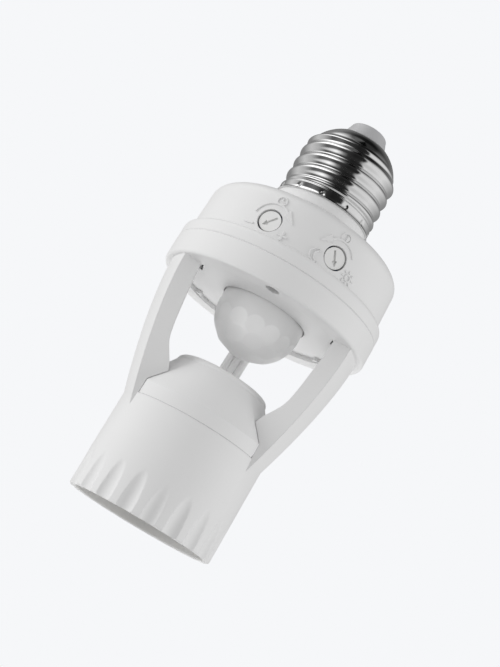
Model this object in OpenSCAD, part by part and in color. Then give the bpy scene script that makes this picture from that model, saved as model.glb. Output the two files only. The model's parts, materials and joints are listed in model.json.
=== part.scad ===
// Motion sensor lamp holder: a screw cap on top, a round sensor housing with a
// domed lens underneath, and a fluted sleeve with the lamp's socket, carried on two arms.
// Z runs up the axis, the origin is the centre of the sleeve's open mouth, and the
// front, with its two setting knobs, faces -Y. The arms stand on the X axis.

/* [Lamp sleeve] */
// Outer diameter of the sleeve round the lamp's cap
sleeve_d = 38.4; // [37.6:0.2:42]
// Height of the sleeve, from its open rim to the seam of the cover
sleeve_h = 25.3; // [24:0.1:28]
// Wall of the sleeve
sleeve_wall = 1.6; // [1.2:0.1:2]
// Number of flutes round the rim
flute_count = 20; // [12:2:24]
// Width of one flute
flute_w = 4.2; // [3.6:0.1:4.6]
// Height of a flute, from the rim to the top of its arch
flute_h = 9.8; // [6:0.2:14]
// Depth of a flute
flute_depth = 0.8; // [0.6:0.05:1]

/* [Socket cover] */
// Height of the cover's straight band
cover_band_h = 3.6; // [2:0.1:5]
// Height of the cover's cone
cover_cone_h = 11.5; // [9:0.1:12]
// Diameter of the cover's flat top, to its rounded edge
cover_top_d = 23; // [20:0.2:26]
// Wall of the cover
cover_wall = 1.5; // [1:0.1:2]

/* [Arms] */
// Height of the windows between the arms, from the cover's seam to the ring
window_h = 33.9; // [33:0.1:42]
// Width of an arm at its foot on the sleeve
arm_foot_w = 22.9; // [18:0.1:24]
// Width of an arm at the ring
arm_top_w = 31.6; // [26:0.1:33]
// Wall of an arm's outer face
arm_wall = 2; // [1.4:0.1:2.6]
// Wall of an arm's two side flanges
flange_wall = 2; // [1.4:0.1:2.6]
// How far an arm's outer face lies inside the ring's side where they meet
arm_inset = 1.8; // [0.6:0.1:2.6]
// How much flatter than the ring an arm's outer face is, as a shift of its centre
arm_flatness = 7; // [3:0.5:10]
// Angle that an arm's two side faces turn in, so that they look slightly towards the axis
arm_turn = 9; // [4:0.5:14]
// Depth of the flange at the back of an arm, which is narrower than the one at the front
back_flange = 4.6; // [3.5:0.1:5.5]

/* [Sensor ring] */
// Outer diameter of the ring
ring_d = 56.2; // [55:0.2:60]
// Height of the ring, from its underside to the seam of the housing
ring_h = 6.6; // [6:0.1:10]
// Wall of the ring and of the panel in it
ring_wall = 1.8; // [1.6:0.1:2.4]
// Inner diameter of the flat rim on the underside
rim_bore_d = 45.2; // [44:0.2:46]
// How deep the panel lies inside the rim
panel_recess = 1.1; // [0.5:0.1:1.6]

/* [Upper housing] */
// Height of the shoulder above the seam
shoulder_h = 3.9; // [3:0.1:5]
// Outer diameter of the drum
drum_d = 53; // [52:0.2:54]
// Height of the drum's straight side above the shoulder
drum_side_h = 9.6; // [9.2:0.1:14]
// Height of the drum's rounded top
drum_round_h = 4.3; // [3.6:0.1:6]
// Height of the sloping roof above the rounding
roof_h = 3.4; // [2.4:0.1:5]
// Wall of the housing
housing_wall = 1.7; // [1.4:0.1:2]
// Height of the collar that shows below the screw cap
collar_h = 2.7; // [1.5:0.1:5]

/* [Lens] */
// Outer diameter of the domed lens
lens_d = 22.3; // [20:0.1:23]
// How far the lens reaches below the panel
lens_drop = 13.2; // [11:0.1:13.4]
// Wall of the lens
lens_wall = 0.8; // [0.6:0.1:1.2]
// Gap round the lens in its hole
lens_gap = 0.35; // [0.2:0.05:0.6]

/* [Knobs] */
// Angle of each knob from the front
knob_angle = 19.5; // [17.5:0.1:24]
// Height of the knobs above the shoulder
knob_rise = 3.8; // [3.6:0.1:4.6]
// Diameter of a knob
knob_d = 5.3; // [4.4:0.1:5.6]
// Gap round a knob in its hole
knob_gap = 0.35; // [0.2:0.05:0.5]
// Way that the time knob's arrow points, counted from the right
time_points = 227; // [0:1:360]
// Way that the light knob's arrow points, counted from the right
lux_points = 297; // [0:1:360]

/* [Screw cap] */
// Diameter over the thread's crests
cap_d = 26.1; // [26:0.05:26.4]
// Depth of the thread
thread_depth = 0.8; // [0.6:0.05:1]
// Pitch of the thread
thread_pitch = 3.629; // [3.4:0.001:3.8]
// Height of the cap's shell
cap_h = 22.9; // [21:0.1:25]
// Thickness of the sheet that the shell is rolled from
cap_sheet = 0.3; // [0.25:0.05:0.5]
// Height of the insulator above the shell
insulator_h = 3.6; // [2.5:0.1:5]
// Height of the contact above the insulator
contact_h = 0.6; // [0.5:0.1:1.5]

/* [Fits and wires] */
// Gap between parts that slip into each other
fit = 0.2; // [0.1:0.05:0.3]
// Diameter of a wire that runs down to the socket
wire_d = 1.75; // [1.2:0.05:1.8]
// Thickness of the circuit board
board_t = 1.6; // [1:0.1:2]

/* [Hidden] */
$fn = 72;

sleeve_r = sleeve_d / 2;
sleeve_in_r = sleeve_r - sleeve_wall;
flute_turn = 6;
band_z = sleeve_h + cover_band_h;
cover_top_z = band_z + cover_cone_h;
cover_top_r = cover_top_d / 2;
cover_edge = 1.5;
cover_flat = sleeve_r - 4.1;
arm_flat = cover_flat + 0.6 * fit;
cone_slope = (sleeve_r - cover_top_r) / cover_cone_h;
ring_r = ring_d / 2;
ring_in_r = ring_r - ring_wall;
ring_z = sleeve_h + window_h;
seam_z = ring_z + ring_h;
rim_r = rim_bore_d / 2;
panel_z = ring_z + panel_recess;
panel_top = panel_z + ring_wall;
lip_h = 1.8;
lip_wall = 1;
seam_edge = 0.18;
shoulder_z = seam_z + shoulder_h;
drum_r = drum_d / 2;
drum_draft = 0.3;
side_z = shoulder_z + drum_side_h;
round_z = side_z + drum_round_h;
roof_z = round_z + roof_h;
round_r = drum_r - 6.5;
cap_r = cap_d / 2;
skirt_r = cap_r - 0.12;
root_r = cap_r - thread_depth;
collar_r = skirt_r - 0.2;
cap_z = roof_z + collar_h;
skirt_h = 2.6;
spigot_h = 8.5;
bore_r = 9.6;
cap_top = cap_z + cap_h;
thread_z = cap_z + skirt_h;
thread_top = cap_top - 5.1;
end_z = cap_top - 8.3;
end_r = 6;
insulator_r = 6.4;
tip_z = cap_top + insulator_h;

lens_r = lens_d / 2;
lens_hole_r = lens_r + lens_gap;
lens_flange_r = lens_hole_r + 2;
lens_flange_t = 1.2;

board_z = seam_z - 0.8;
board_top = board_z + board_t;
board_r = ring_in_r - lip_wall - fit - 1.6;
knob_r = knob_d / 2;
knob_z = shoulder_z + knob_rise;
knob_face = drum_r - 0.55;
trimmer_w = 9.5;
trimmer_t = 4.8;
// A trimmer stands inside both the drum and the ring's lip
trimmer_face = min(drum_r - housing_wall - 1.5,
    sqrt(pow(ring_in_r - lip_wall - fit, 2) - pow(trimmer_w / 2, 2)) - fit);
trimmer_h = knob_z - board_top + 4.6;

boss_r = 1.9;
screw_ring_r = rim_r + 2.3;
screw_d = 2.2;
screw_head_r = 1.55;
screw_head_h = 1.4;
screw_well_r = 1.8;
screw_well_z = ring_z + 2.4;
screw_len = 9;

shell_out_r = 13.9;
shell_sheet = 0.35;
base_t = 2.8;
base_z = sleeve_h - 0.9 - base_t;
base_top = base_z + base_t;
shell_low = 3.4;
rivet_r = 1.3;
rivet_at = 9.2;
tab_t = 0.6;
wire_r = wire_d / 2;
wire_step = wire_d + 0.1;
wire_top_y = lens_flange_r + wire_r + 0.7;
wire_low_y = cover_top_r - 4.3;
lead_r = 0.6;

arm_low = sleeve_h - 4;
// Outer face of an arm in the plane of the arms: steep at the foot, upright at the ring
function arm_out(t) = sleeve_r - 1.2
    + (ring_r - arm_inset - sleeve_r + 1.2) * (1 - pow(1 - t, 1.5));
arm_steps = 14;
arm_outer = [for (i = [0 : arm_steps])
    [arm_out(i / arm_steps), arm_low + (ring_z - 0.2 - arm_low) * i / arm_steps]];
arm_blend = [[ring_r - arm_inset + 0.6, ring_z + 0.5], [ring_r - 0.35, ring_z + 2],
    [ring_r, ring_z + 3.3]];
// How much wider an arm gets with each millimetre outwards and with each one upwards
arm_spread = tan(arm_turn);
arm_climb = ((arm_top_w - arm_foot_w) / 2 - arm_spread * (arm_out(1) - arm_out(0))) / (ring_z - arm_low);
// Inner edge of an arm's two flanges, seen along Y, from the ring down to the sleeve
back_in = concat([[ring_r - arm_inset - back_flange, ring_z + 6]],
    [for (i = [arm_steps : -1 : 0]) if (arm_outer[i][1] > band_z) arm_outer[i] - [back_flange, 0]],
    [[arm_flat, sleeve_h], [arm_flat, arm_low - 3]]);
flange_in = concat([[ring_r - 9.8, ring_z + 6]],
    soft_way([[ring_r - 9.8, ring_z], [ring_r - 10.2, ring_z - 4.5], [ring_r - 10.8, ring_z - 9.5],
        [ring_r - 11.4, ring_z - 14.4], [sleeve_r - 3.45, cover_top_z - 0.3],
        [sleeve_r - 6.65, cover_top_z - 5.4]], 2),
    [[sleeve_r - 7.35, cover_top_z - 7.1], [sleeve_r - 4.25, band_z],
    [arm_flat, sleeve_h], [arm_flat, arm_low - 3]]);

function unit(v) = v / norm(v);

// A row of points with each corner turned into a short curve
function soft_way(p, bend) = concat([p[0]],
    [for (i = [1 : len(p) - 2])
        let (a = p[i] + unit(p[i - 1] - p[i]) * bend, b = p[i] + unit(p[i + 1] - p[i]) * bend)
        for (t = [0 : 0.25 : 1]) (1 - t) * (1 - t) * a + 2 * t * (1 - t) * p[i] + t * t * b],
    [p[len(p) - 1]]);

// A rounded box with a centre, upright corners of radius r
module block(size, r = 0.4) {
    translate([0, 0, size[2] / 2]) {
        cube([size[0] - 2 * r, size[1], size[2]], center = true);
        cube([size[0], size[1] - 2 * r, size[2]], center = true);
        for (x = [-1, 1], y = [-1, 1])
            translate([x * (size[0] / 2 - r), y * (size[1] / 2 - r), 0])
                cylinder(r = r, h = size[2], center = true, $fn = 24);
    }
}

// A round wire through a row of points, none of whose stretches runs along Y
module wire_run(points, r) {
    way = soft_way(points, 2 * r);
    last = len(way) - 1;
    around = 16;
    rings = [for (i = [0 : last]) let (along = unit(way[min(i + 1, last)] - way[max(i - 1, 0)]),
        side = unit(cross([0, 1, 0], along)), up = cross(along, side))
        for (k = [0 : around - 1], turn = [360 * k / around])
            way[i] + r * (side * cos(turn) + up * sin(turn))];
    polyhedron(points = rings, faces = concat(
        [[for (k = [0 : around - 1]) k], [for (k = [around - 1 : -1 : 0]) last * around + k]],
        [for (i = [0 : last - 1], k = [0 : around - 1]) let (n = (k + 1) % around)
            [i * around + k, (i + 1) * around + k, (i + 1) * around + n, i * around + n]]));
}

// Places its children on a radial axis through the drum, where +Z points outwards
module on_front(angle) {
    rotate([0, 0, angle])
        translate([0, 0, knob_z])
            rotate([90, 0, 0])
                children();
}

// Radius of the cap's shell below its thread, drawn in to end_r at the top
function shell_r(z) = z < end_z ? root_r
    : end_r + (root_r - end_r) * sqrt(max(0, 1 - pow((z - end_z) / (cap_top - end_z), 2)));

// How high a rolled thread stands at a height and a turn, faded out at both ends
function thread_wave(z, turn, low, high) = let (
    wave = (1 + cos(360 * ((z - low) / thread_pitch - turn - 0.38))) / 2,
    fade = max(0, min(1, (z - low) / 1.3, (high - z) / 1.6)))
    pow(wave, 0.8) * fade;

// A solid screw whose grid of faces follows the helix, longer than its thread at both ends.
// With a root of 0 it stands on the cap's own shell.
module screw_body(root, depth, low, high) {
    around = 36;
    per_turn = 6;
    rows = ceil((high - low) / thread_pitch + 2.2) * per_turn;
    start = low - 1.1 * thread_pitch;
    lift = thread_pitch / per_turn;
    function height(i, j) = start + lift * j + thread_pitch * i / around;
    function spot(i, j) = let (z = height(i, j),
        r = (root > 0 ? root : shell_r(z)) + depth * thread_wave(z, i / around, low, high))
        [r * cos(360 * i / around), r * sin(360 * i / around), z];
    function at(i, j) = i == around ? j + per_turn : i * (rows + 1) + j;
    points = concat([for (i = [0 : around - 1], j = [0 : rows]) spot(i, j)],
        [[0, 0, start + thread_pitch / 2], [0, 0, height(around / 2, rows)]]);
    low_hub = around * (rows + 1);
    top_hub = low_hub + 1;
    last = around - 1;
    side = [for (i = [0 : last], j = [0 : (i == last ? rows - per_turn : rows) - 1])
        each [[at(i, j), at(i, j + 1), at(i + 1, j)], [at(i + 1, j), at(i, j + 1), at(i + 1, j + 1)]]];
    floor_fan = concat([for (i = [0 : last]) [low_hub, at(i, 0), at(i + 1, 0)]],
        [for (j = [0 : per_turn - 1]) [low_hub, at(0, j + 1), at(0, j)]]);
    roof_fan = concat([for (i = [0 : last - 1]) [top_hub, at(i + 1, rows), at(i, rows)]],
        [for (j = [rows - per_turn : rows - 1]) [top_hub, at(last, j), at(last, j + 1)]],
        [[top_hub, at(0, rows), at(last, rows - per_turn)]]);
    polyhedron(points = points, faces = concat(side, floor_fan, roof_fan), convexity = 6);
}

// The screw body cut flat at both ends of its thread
module thread_body(root, depth, low, high) {
    intersection() {
        screw_body(root, depth, low, high);
        translate([0, 0, low]) cylinder(r = cap_r + 2, h = high - low);
    }
}

// Lower housing: sleeve, arms, ring and panel, moulded as one

// Half section of the sleeve, with its rounded rim and the ledge for the socket's base
module sleeve_profile() {
    edge = 0.5;
    translate([sleeve_in_r, edge]) square([sleeve_wall, sleeve_h - edge]);
    translate([sleeve_in_r + edge, 0]) square([sleeve_wall - 2 * edge, edge + 0.1]);
    translate([sleeve_r - edge, edge]) circle(r = edge, $fn = 32);
    translate([sleeve_in_r + edge, edge]) circle(r = edge, $fn = 32);
    translate([sleeve_in_r - 1.6, base_z - 1.2]) square([1.7, 1.2]);
}

// Arch-topped flutes: cuts of a round section that lean out of the sleeve and end at flute_h
module flutes() {
    scoop = (flute_w * flute_w / 8) / (flute_depth - flute_w * flute_w / (8 * sleeve_r));
    lean = atan(flute_depth / flute_h);
    reach = asin(flute_w / 2 / scoop) * 1.2;
    section = concat([for (k = [-8 : 8]) let (a = 90 - reach * k / 8) [scoop * cos(a), scoop * sin(a)]],
        [[-scoop * sin(reach), -1], [scoop * sin(reach), -1]]);
    for (i = [0 : flute_count - 1])
        rotate([0, 0, flute_turn + 360 * i / flute_count])
            translate([0, -(sleeve_r - flute_depth + scoop), 0])
                rotate([lean, 0, 0])
                    translate([0, 0, -2]) linear_extrude(height = flute_h + 6) polygon(section);
}

module sleeve() {
    difference() {
        rotate([0, 0, flute_turn + 180 / flute_count]) rotate_extrude() sleeve_profile();
        flutes();
    }
}

// Revolves an outline about the arm's own flatter axis
module arm_sweep() {
    translate([-arm_flatness, 0, 0])
        rotate([0, 0, -50])
            rotate_extrude(angle = 100)
                translate([arm_flatness, 0]) children();
}

// The tapered width of an arm, as a wedge with a sharp end beyond the axis
module arm_width(inset) {
    half_angle = atan(norm([arm_climb, arm_spread]));
    far = 4 * ring_d;
    translate([arm_out(0) - arm_foot_w / 2 / arm_spread, 0, arm_low])
        rotate([0, -atan2(arm_climb, arm_spread), 0])
            translate([inset / sin(half_angle), 0, -far])
                linear_extrude(height = 2 * far)
                    polygon([[0, 0], [far, -far * tan(half_angle)], [far, far * tan(half_angle)]]);
}

// The two side faces of an arm, seen along Y, out to beyond its outer face
module arm_side() {
    far_side = [[ring_r + 1, arm_low - 3], [ring_r + 1, ring_z + 6]];
    rotate([90, 0, 0]) linear_extrude(height = ring_r) polygon(concat(flange_in, far_side));
    rotate([90, 0, 0]) mirror([0, 0, 1]) linear_extrude(height = ring_r) polygon(concat(back_in, far_side));
}

module arm() {
    difference() {
        intersection() {
            arm_sweep() polygon(concat([[0, arm_low]], arm_outer, arm_blend, [[0, ring_z + 3.3]]));
            arm_width(0);
            arm_side();
            cylinder(r = ring_r, h = seam_z);
        }
        // Channel between the flanges, open towards the axis
        intersection() {
            arm_sweep()
                polygon(concat([[0, sleeve_h + 0.6]],
                    [for (p = arm_outer) if (p[1] > sleeve_h + 0.6) [p[0] - arm_wall, p[1]]],
                    [[ring_r - arm_inset - arm_wall, panel_z], [0, panel_z]]));
            arm_width(flange_wall);
        }
        cover_clearance();
        // Nothing of the arm reaches into the sleeve or into the ring
        cylinder(r = sleeve_r - 0.4, h = sleeve_h);
        cylinder(r = sleeve_in_r + 0.3, h = sleeve_h + 1.2);
        translate([0, 0, panel_z]) cylinder(r = ring_in_r, h = ring_h + 1);
    }
}

// Half section of the ring: side wall, rim, recessed panel and the lip inside the seam
module ring_profile() {
    edge = 0.9;
    difference() {
        union() {
            translate([ring_in_r, ring_z + edge]) square([ring_wall, ring_h - edge]);
            translate([rim_r, ring_z]) square([ring_r - edge - rim_r, ring_wall + panel_recess]);
            translate([ring_r - edge, ring_z + edge]) circle(r = edge, $fn = 32);
            translate([ring_r - ring_wall - edge, ring_z + edge]) square([ring_wall + edge, edge]);
            translate([lens_hole_r, panel_z]) square([ring_in_r - lens_hole_r, ring_wall]);
            translate([ring_in_r - lip_wall, panel_top - 0.1])
                square([lip_wall, seam_z + lip_h - panel_top + 0.1]);
            translate([ring_in_r - 0.1, panel_top]) square([0.2, seam_z - panel_top]);
        }
        // The lip stands back from the wall that it slips into
        translate([ring_in_r - fit, seam_z]) square([1, lip_h + 1]);
        // Chamfer along the seam
        translate([ring_r, seam_z]) circle(r = seam_edge, $fn = 4);
    }
}

// Slot that the three wires pass through, in the ring's panel or the cover's top
module wire_slot(y, z, h) {
    gap = 0.12;
    translate([0, y, z]) {
        cube([2 * wire_step, wire_d + 2 * gap, h], center = true);
        for (x = [-1, 1])
            translate([x * wire_step, 0, 0])
                cylinder(r = wire_r + gap, h = h, center = true, $fn = 32);
    }
}

module ring_and_panel() {
    difference() {
        rotate_extrude() ring_profile();
        wire_slot(wire_top_y, panel_z, 6);
        // Screw wells in the rim, each with its clearance hole
        for (s = [0, 180])
            rotate([0, 0, s])
                translate([0, -screw_ring_r, 0]) {
                    translate([0, 0, ring_z - 1])
                        cylinder(r = screw_well_r, h = screw_well_z - ring_z + 1, $fn = 40);
                    translate([0, 0, ring_z]) cylinder(r = screw_d / 2 + 0.15, h = 8, $fn = 32);
                    // The housing's boss stands through the lip
                    translate([0, 0, screw_well_z + 1.2]) cylinder(r = boss_r + fit, h = 12, $fn = 40);
                }
        // Narrow slots beside the feet of the arms
        for (s = [-1, 1])
            translate([s * (ring_r - 9.6), -9.4, panel_z]) cube([1, 7.6, 2 * ring_wall + 2], center = true);
    }
    // Floor of each screw well
    for (s = [0, 180])
        rotate([0, 0, s])
            translate([0, -screw_ring_r, screw_well_z])
                difference() {
                    cylinder(r = screw_well_r + 0.5, h = 1.2, $fn = 40);
                    translate([0, 0, -1]) cylinder(r = screw_d / 2 + 0.15, h = 4, $fn = 32);
                }
    // Posts that carry the circuit board
    for (a = [55, 125, 235, 305])
        rotate([0, 0, a])
            translate([board_r - 3, 0, panel_top - 0.1])
                cylinder(r = 1.5, h = board_z - panel_top + 0.1, $fn = 32);
    // Small lugs on the wall of the recess, behind the arms
    for (s = [-1, 1])
        translate([s * (ring_r - 8.9), 13.8, ring_z + 0.3]) block([5, 2.6, panel_recess], 0.5);
}

module lower_housing() {
    color("whitesmoke") {
        sleeve();
        arm();
        mirror([1, 0, 0]) arm();
        ring_and_panel();
    }
}

// Socket cover: a band and a cone, with a flat on each side for the arms

module cover_outline(grow) {
    top = cover_top_r + cone_slope * cover_edge + grow;
    polygon(concat([[0, sleeve_h - grow], [sleeve_r - seam_edge + grow, sleeve_h - grow],
        [sleeve_r + grow, sleeve_h + seam_edge - grow], [sleeve_r + grow, band_z + grow * 0.4],
        [top, cover_top_z - cover_edge + grow * 0.4]],
        [for (a = [15 : 15 : 90]) [top - cover_edge * (1 - cos(a)),
            cover_top_z - cover_edge * (1 - sin(a)) + grow]],
        [[0, cover_top_z + grow]]));
}

module cover_clearance() {
    difference() {
        rotate_extrude() cover_outline(0.6 * fit);
        for (s = [-1, 1])
            translate([s * (arm_flat + sleeve_r), 0, band_z])
                cube([2 * sleeve_r, 3 * sleeve_r, 60], center = true);
        // Below the seam the arms stand on the sleeve itself
        cylinder(r = 2 * sleeve_r, h = sleeve_h);
    }
}

// A slab between the two flats, drawn in by a wall
module between_flats(inset) {
    cube([2 * (cover_flat - inset), 3 * sleeve_r, 4 * cover_top_z], center = true);
}

module socket_cover() {
    hollow_r = sleeve_in_r - fit - cover_wall;
    color("whitesmoke")
    difference() {
        union() {
            intersection() {
                rotate_extrude() cover_outline(0);
                between_flats(0);
            }
            // Spigot inside the sleeve
            translate([0, 0, base_top]) cylinder(r = sleeve_in_r - fit, h = sleeve_h - base_top);
        }
        intersection() {
            rotate_extrude()
                polygon([[0, sleeve_h - 9], [hollow_r, sleeve_h - 9], [hollow_r, band_z - 0.4],
                    [cover_top_r - 0.3, cover_top_z - cover_wall], [0, cover_top_z - cover_wall]]);
            between_flats(cover_wall);
        }
        wire_slot(wire_low_y, cover_top_z, 6);
    }
}

// Upper housing

// Outline of the housing from the seam up to the collar, drawn in by a wall
function drum_curve(inset) = [for (a = [0 : 9 : 90])
    [round_r - inset + (drum_r - drum_draft - round_r) * cos(a), side_z + (drum_round_h - inset) * sin(a)]];

module upper_profile() {
    edge = 1.5;
    // The inside steps out over the ring's lip
    step_z = max(shoulder_z - housing_wall, seam_z + lip_h + fit);
    outer = concat([[ring_r - 0.05 - seam_edge, seam_z], [ring_r - 0.05, seam_z + seam_edge],
        [ring_r - 0.05, shoulder_z - edge]],
        [for (a = [15 : 15 : 90]) [ring_r - 0.05 - edge * (1 - cos(a)), shoulder_z - edge * (1 - sin(a))]],
        [[drum_r, shoulder_z]], drum_curve(0),
        [[collar_r + 1.2, roof_z - 0.3], [collar_r, roof_z + 0.2], [collar_r, cap_z]],
        [[skirt_r - cap_sheet - 0.1, cap_z], [skirt_r - cap_sheet - 0.1, thread_z - 0.8],
        [root_r - cap_sheet - 0.15, thread_z - 0.3], [root_r - cap_sheet - 0.15, cap_z + spigot_h],
        [bore_r, cap_z + spigot_h], [bore_r, roof_z - housing_wall]]);
    inner = concat([for (i = [10 : -1 : 0]) drum_curve(housing_wall)[i]],
        [[drum_r - housing_wall, step_z], [ring_r - 0.05 - ring_wall, step_z],
        [ring_r - 0.05 - ring_wall, seam_z]]);
    polygon(concat(outer, inner));
}

module upper_housing() {
    color("whitesmoke")
    difference() {
        union() {
            rotate_extrude() upper_profile();
            // Screw bosses down to the wells, joined to the wall
            for (s = [0, 180])
                rotate([0, 0, s])
                    intersection() {
                        translate([0, -screw_ring_r, screw_well_z + 1.2])
                            cylinder(r = boss_r, h = side_z - screw_well_z - 1.2, $fn = 40);
                        cylinder(r = drum_r - 0.6, h = side_z + 1);
                    }
        }
        for (s = [0, 180])
            rotate([0, 0, s])
                translate([0, -screw_ring_r, screw_well_z])
                    cylinder(r = screw_d / 2, h = screw_len, $fn = 32);
        for (s = [-1, 1])
            on_front(s * knob_angle)
                cylinder(r = knob_r + knob_gap, h = drum_r + 5, $fn = 48);
    }
}

// Lens

module lens_dome() {
    rise = lens_drop - 2.8;
    function bowl(r, h) = [for (a = [90 : -7.5 : 0]) [r * cos(a), panel_z - 2.8 - h * sin(a)]];
    color("gainsboro")
    rotate_extrude()
        polygon(concat(bowl(lens_r, rise), [[lens_r, panel_top], [lens_flange_r, panel_top],
            [lens_flange_r, panel_top + lens_flange_t], [lens_r - lens_wall, panel_top + lens_flange_t]],
            [for (i = [12 : -1 : 0]) bowl(lens_r - lens_wall, rise - lens_wall)[i]]));
}

// Knobs and their trimmers

// Arrow-shaped slot, pointing along +X
module arrow_slot(r) {
    translate([-r * 0.72, -r * 0.1]) square([r * 1.3, r * 0.2]);
    polygon([[r * 0.25, -r * 0.26], [r * 0.78, 0], [r * 0.25, r * 0.26]]);
}

module knob(points) {
    rotate([0, 0, points])
        difference() {
            union() {
                translate([0, 0, trimmer_face]) cylinder(r = knob_r, h = knob_face - trimmer_face, $fn = 48);
                translate([0, 0, trimmer_face - 3]) cylinder(r = 1.7, h = 3.1, $fn = 40);
            }
            translate([0, 0, knob_face - 0.7]) linear_extrude(height = 2) arrow_slot(knob_r);
        }
}

module time_knob() {
    color("white") on_front(-knob_angle) knob(time_points);
}

module lux_knob() {
    color("white") on_front(knob_angle) knob(lux_points);
}

module trimmer(angle) {
    rotate([0, 0, angle])
        difference() {
            translate([0, -(trimmer_face - trimmer_t / 2) + 0.1, board_top])
                block([trimmer_w, trimmer_t - 0.2, trimmer_h], 0.5);
            translate([0, 0, knob_z]) rotate([90, 0, 0])
                cylinder(r = 1.7 + 0.1, h = drum_r, $fn = 40);
        }
}

module time_trimmer() {
    color("steelblue") trimmer(-knob_angle);
}

module lux_trimmer() {
    color("steelblue") trimmer(knob_angle);
}

// Circuit board and what stands on it

module circuit_board() {
    color("darkgreen")
    difference() {
        translate([0, 0, board_z]) cylinder(r = board_r, h = board_t);
        for (s = [-1, 1])
            translate([0, s * screw_ring_r, board_z - 1])
                cylinder(r = boss_r + 0.8, h = board_t + 2, $fn = 40);
    }
}

module pir_sensor() {
    color("silver")
    translate([0, 0, board_z]) mirror([0, 0, 1]) {
        cylinder(r = 4.6, h = 0.6, $fn = 48);
        cylinder(r = 4.1, h = 4.4, $fn = 48);
    }
}

module light_sensor() {
    color("lightblue")
    translate([7.2, 0, board_z]) mirror([0, 0, 1]) {
        cylinder(r = 1.5, h = 3.2, $fn = 32);
        translate([0, 0, 3.2]) sphere(r = 1.5, $fn = 32);
    }
}

module relay() {
    color("royalblue")
    translate([-9.6, 9.2, board_top]) block([10.2, 15.8, 11.6], 0.5);
}

module film_capacitor() {
    color("goldenrod")
    translate([9.8, 9.4, board_top]) block([6.4, 13, 11], 0.6);
}

module electrolytic_capacitor() {
    color("darkslategray")
    translate([16.2, -6.2, board_top]) {
        cylinder(r = 4, h = 10.6, $fn = 48);
        cylinder(r = 3.6, h = 11, $fn = 48);
    }
}

module control_chip() {
    color("dimgray")
    translate([-2, -8.6, board_top]) block([10.4, 4, 1.7], 0.2);
}

module fuse_resistor() {
    color("seagreen")
    translate([-15.6, -11.2, board_top + 1.5]) rotate([0, 90, 62]) cylinder(r = 1.5, h = 7.6, $fn = 32);
}

module varistor() {
    color("orange")
    translate([2, 17.6, board_top + 4.2]) rotate([90, 0, 0]) cylinder(r = 4.2, h = 3, $fn = 40);
}

module housing_screws() {
    color("silver")
    for (s = [0, 180])
        rotate([0, 0, s])
            translate([0, -screw_ring_r, screw_well_z])
                difference() {
                    union() {
                        mirror([0, 0, 1]) cylinder(r = screw_head_r, h = screw_head_h, $fn = 40);
                        cylinder(r = screw_d / 2, h = screw_len - 1, $fn = 32);
                    }
                    // Cross recess
                    translate([0, 0, -screw_head_h]) {
                        cube([2.2, 0.5, 1.4], center = true);
                        cube([0.5, 2.2, 1.4], center = true);
                    }
                }
}

// Screw cap

// The shell's end, from the thread up to the insulator, drawn in by a wall
function shell_end(inset) = [for (i = [0 : 8]) let (z = thread_top + (cap_top - thread_top) * i / 8)
    [max(shell_r(z) - inset, 0), min(z, cap_top - inset)]];

module cap_shell() {
    color("silver")
    difference() {
        union() {
            // Flared lip and plain skirt
            rotate_extrude()
                polygon([[0, cap_z], [skirt_r + 0.3, cap_z], [skirt_r + 0.3, cap_z + 0.3],
                    [skirt_r, cap_z + 0.9], [skirt_r, thread_z - 0.4], [root_r, thread_z + 0.05],
                    [0, thread_z + 0.05]]);
            thread_body(0, thread_depth, thread_z, thread_top);
            rotate_extrude()
                polygon(concat([[0, thread_top - 0.05], [shell_r(thread_top), thread_top - 0.05]],
                    shell_end(0), [[0, cap_top]]));
        }
        rotate_extrude()
            polygon(concat([[0, cap_z - 1], [skirt_r - cap_sheet, cap_z - 1],
                [skirt_r - cap_sheet, thread_z - 0.5], [root_r - cap_sheet, thread_z],
                [root_r - cap_sheet, end_z]],
                [for (i = [1 : 10]) let (z = end_z + (cap_top - end_z) * i / 10)
                    [shell_r(z) - cap_sheet * 1.2, z - cap_sheet]],
                [[0, cap_top - cap_sheet]]));
        translate([0, 0, cap_top - 2]) cylinder(r = end_r - 0.3, h = 4);
    }
}

module cap_insulator() {
    neck_r = end_r - 0.4;
    round_top = 0.7;
    color("lightgray")
    rotate_extrude()
        difference() {
            polygon(concat([[0, cap_top - 3], [end_r + 0.7, cap_top - 3],
                [end_r + 0.7, cap_top - 1.1 - cap_sheet], [neck_r, cap_top - 0.7 - cap_sheet],
                [neck_r, cap_top], [end_r + 0.2, cap_top]],
                [for (a = [0 : 15 : 90]) [insulator_r - 2 + round_top * cos(a),
                    tip_z - round_top + round_top * sin(a)]], [[0, tip_z]]));
            square([lead_r + 0.15, 300]);
        }
}

module cap_contact() {
    color("silver")
    rotate_extrude()
        polygon(concat([[0, tip_z], [3.6, tip_z]],
            [for (a = [15 : 15 : 90]) [2.8 + 0.8 * cos(a), tip_z + contact_h * sin(a)]],
            [[0, tip_z + contact_h]]));
}

// Socket inside the sleeve

module rivet_places() {
    for (x = [-rivet_at, 0, rivet_at])
        translate([x, 0, 0]) children();
}

module socket_base() {
    color("ivory")
    difference() {
        translate([0, 0, base_z]) cylinder(r = sleeve_in_r - fit, h = base_t);
        rivet_places() translate([0, 0, base_z - 1]) cylinder(r = rivet_r + 0.05, h = base_t + 2, $fn = 32);
    }
}

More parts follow.
